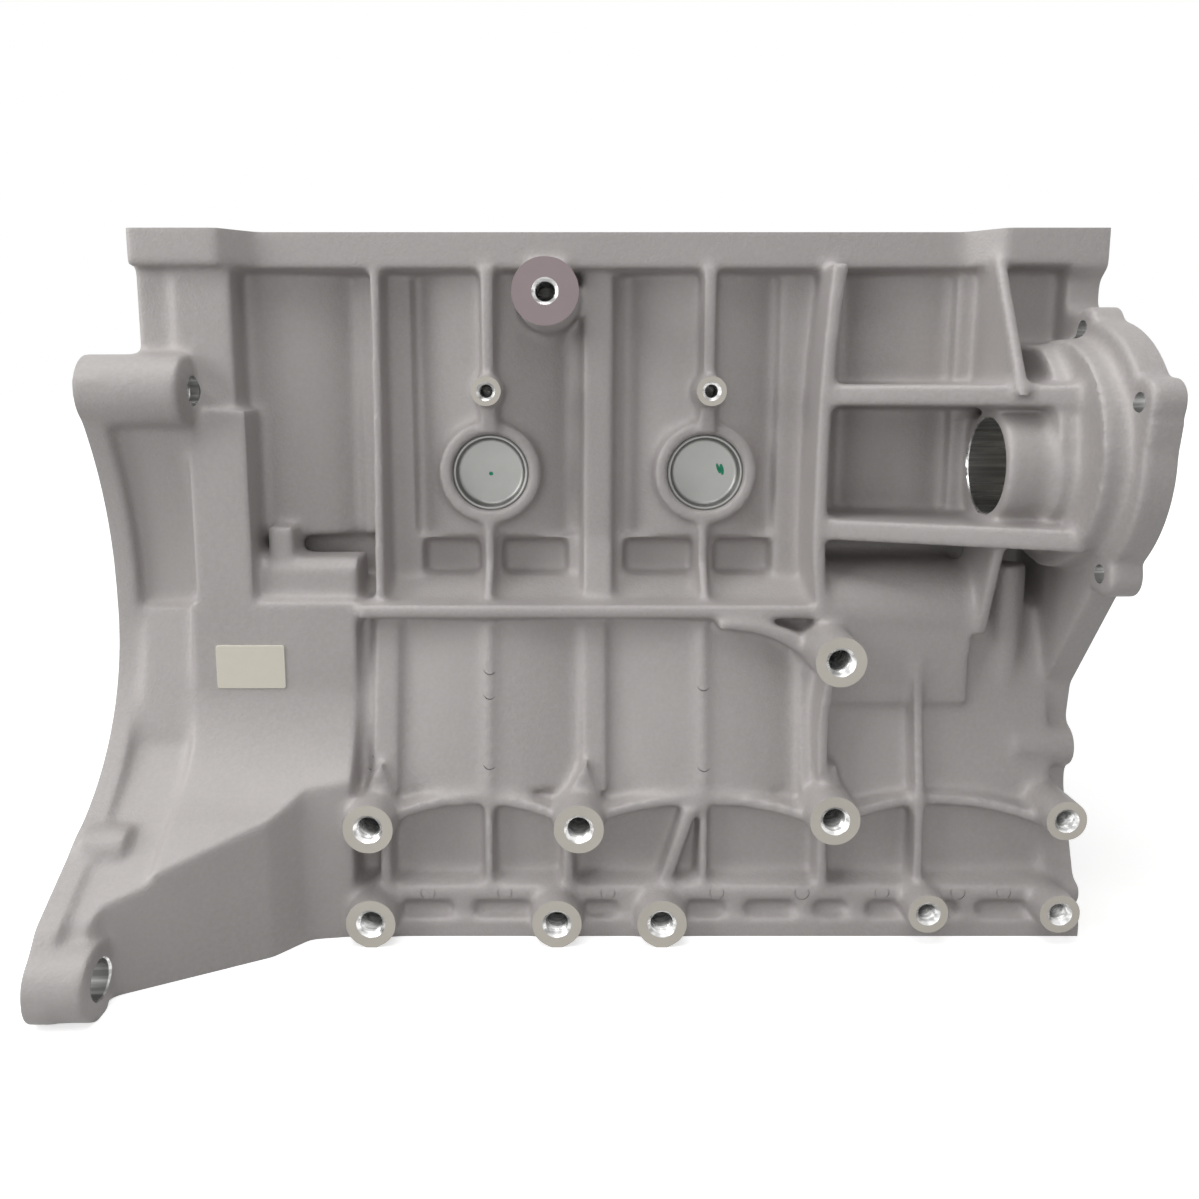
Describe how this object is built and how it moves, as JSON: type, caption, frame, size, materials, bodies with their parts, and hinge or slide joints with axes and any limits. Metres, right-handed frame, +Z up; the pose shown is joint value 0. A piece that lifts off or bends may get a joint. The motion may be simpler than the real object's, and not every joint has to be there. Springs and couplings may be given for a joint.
{
  "type": "engine block",
  "caption": "Bare inline engine block: sand-cast aluminium with cast-in iron liners, bolted bearing caps, core plugs, ribbed side wall, gearbox flange and pump flange.",
  "frame": {"origin": "on the crankshaft axis at the middle main bearing", "axes": "+X along the crankshaft to the timing end, +Y to the manifold side, +Z up to the head face"},
  "size_m": [0.373, 0.278, 0.2665],
  "materials": {
    "cast_aluminium": "sand-blasted casting with machined faces",
    "liner_iron": "honed",
    "cap_iron": "cast and machined",
    "label_white": "matt adhesive film, blank",
    "plug_zinc": "pressed sheet, zinc plated"
  },
  "bodies": {
    "root": {"block_casting": "cast_aluminium", "cylinder_liners": "liner_iron", "main_cap_1": "cap_iron", "main_cap_2": "cap_iron", "main_cap_3": "cap_iron", "main_cap_4": "cap_iron", "main_cap_5": "cap_iron", "core_plugs": "plug_zinc", "blank_label": "label_white"}
  },
  "joints": []
}
